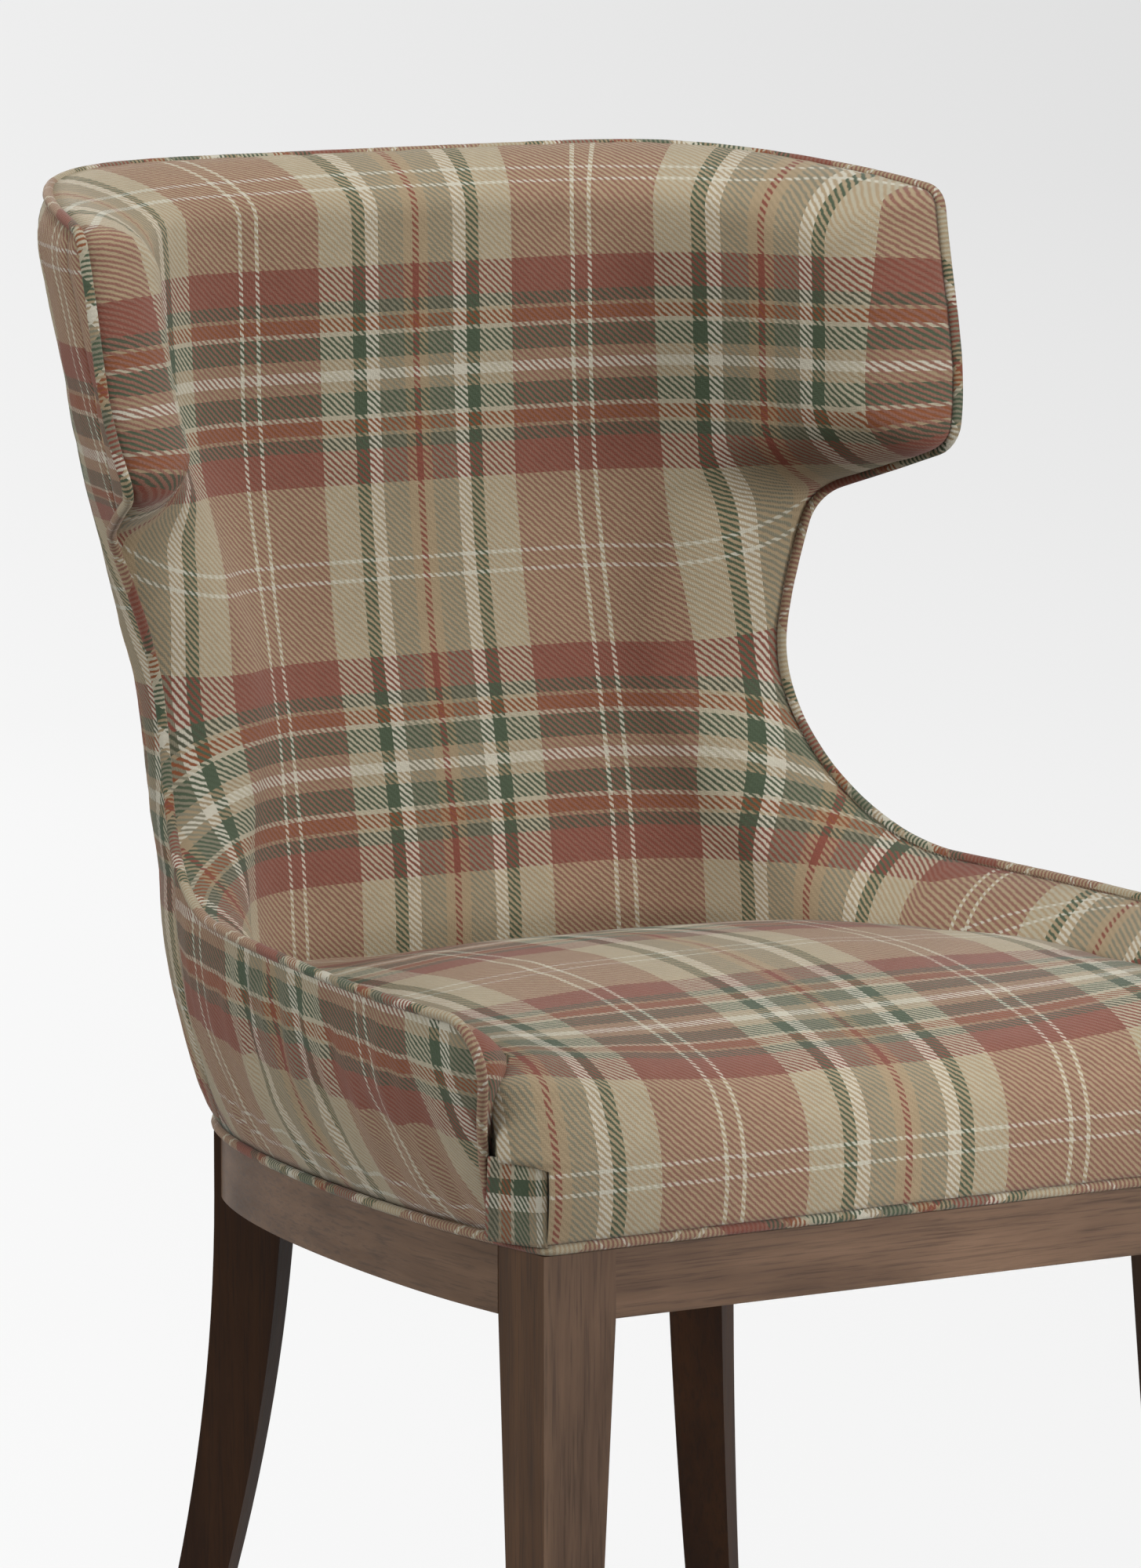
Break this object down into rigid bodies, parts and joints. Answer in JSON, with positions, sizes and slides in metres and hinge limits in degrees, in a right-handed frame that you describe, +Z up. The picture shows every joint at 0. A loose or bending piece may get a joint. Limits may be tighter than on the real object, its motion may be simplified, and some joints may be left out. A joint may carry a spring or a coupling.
{
  "type": "fireside chair",
  "caption": "Upholstered tartan fireside chair: winged, waisted back, low swept arms, crowned seat, on a dark wooden frame with sabre rear legs.",
  "frame": {"origin": "on the floor at the middle of the chair's own bounding box", "axes": "+Z up, +Y towards the back of the chair, +X to the right seen from the front"},
  "size_m": [0.64, 0.614, 0.9533],
  "materials": {
    "show_wood": "stained, low sheen",
    "frame_wood": "unfinished",
    "tartan": "brushed wool tartan twill",
    "welt_tartan": "piped tartan cord",
    "foam": "foam and wadding",
    "webbing": "woven webbing",
    "dust_cloth": "non-woven cloth",
    "steel": "zinc plated",
    "glide_nylon": "moulded"
  },
  "bodies": {
    "root": {"back_lower_rail": "frame_wood", "back_outside_cover": "tartan", "back_padding": "foam", "back_top_rail": "frame_wood", "back_webbing": "webbing", "base_welt": "welt_tartan", "dust_cover": "dust_cloth", "edge_welt": "welt_tartan", "foot_glides": "glide_nylon", "front_left_corner_block": "frame_wood", "front_left_leg": "show_wood", "front_rail": "show_wood", "front_right_corner_block": "frame_wood", "front_right_leg": "show_wood", "inside_cover": "tartan", "left_arm_board": "frame_wood", "left_arm_front_post": "frame_wood", "left_arm_padding": "foam", "left_back_post": "frame_wood", "left_outside_arm_cover": "tartan", "left_outside_wing_cover": "tartan", "left_side_rail": "show_wood", "left_wing_board": "frame_wood", "left_wing_padding": "foam", "leg_bolts": "steel", "leg_nuts": "steel", "rail_dowels": "frame_wood", "rear_left_corner_block": "frame_wood", "rear_left_leg": "show_wood", "rear_rail": "show_wood", "rear_right_corner_block": "frame_wood", "rear_right_leg": "show_wood", "right_arm_board": "frame_wood", "right_arm_front_post": "frame_wood", "right_arm_padding": "foam", "right_back_post": "frame_wood", "right_outside_arm_cover": "tartan", "right_outside_wing_cover": "tartan", "right_side_rail": "show_wood", "right_wing_board": "frame_wood", "right_wing_padding": "foam", "seat_cover": "tartan", "seat_foam": "foam", "seat_webbing_crosswise": "webbing", "seat_webbing_lengthwise": "webbing"}
  },
  "joints": []
}
